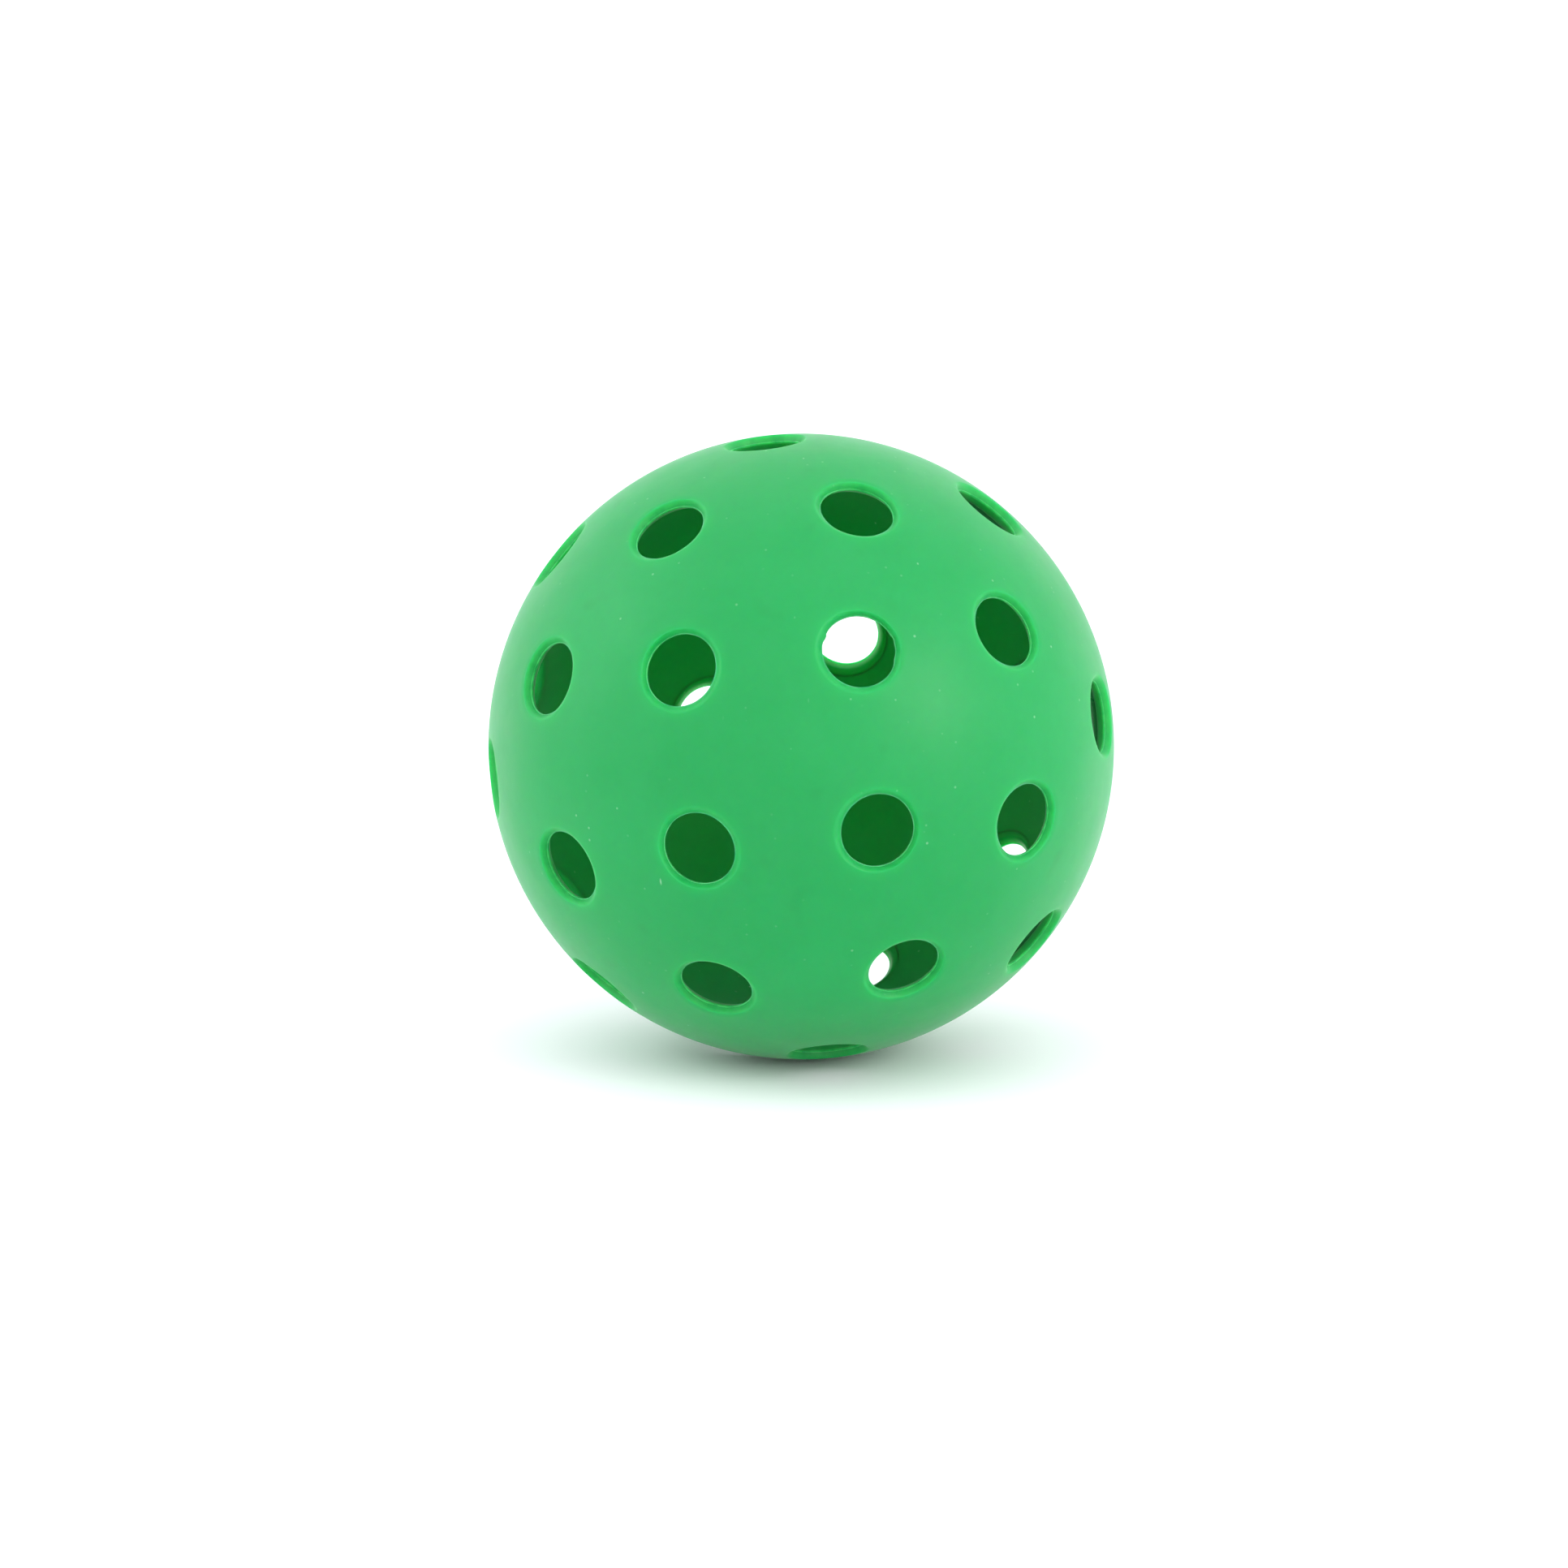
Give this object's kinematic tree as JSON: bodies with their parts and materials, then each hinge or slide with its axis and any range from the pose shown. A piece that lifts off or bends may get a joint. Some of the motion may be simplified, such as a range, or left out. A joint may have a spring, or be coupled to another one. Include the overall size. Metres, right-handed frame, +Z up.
{
  "type": "pickleball ball",
  "caption": "Hollow hard-plastic pickleball with flared air holes in rings about a pole, made as two half shells welded together on a stepped seam.",
  "frame": {"origin": "centre of the ball", "axes": "+Z up; -Z runs from the centre to the point that the ball lies on; the pole axis of the two halves is in the YZ plane, with the front half's pole towards -Y and 9 degrees above the horizontal"},
  "size_m": [0.074, 0.074, 0.074],
  "materials": {
    "shell_plastic": "satin, faintly translucent green moulded plastic",
    "weld_plastic": "smooth re-melted green plastic"
  },
  "bodies": {
    "root": {"front_half": "shell_plastic", "rear_half": "shell_plastic", "weld_ring": "weld_plastic"}
  },
  "joints": []
}
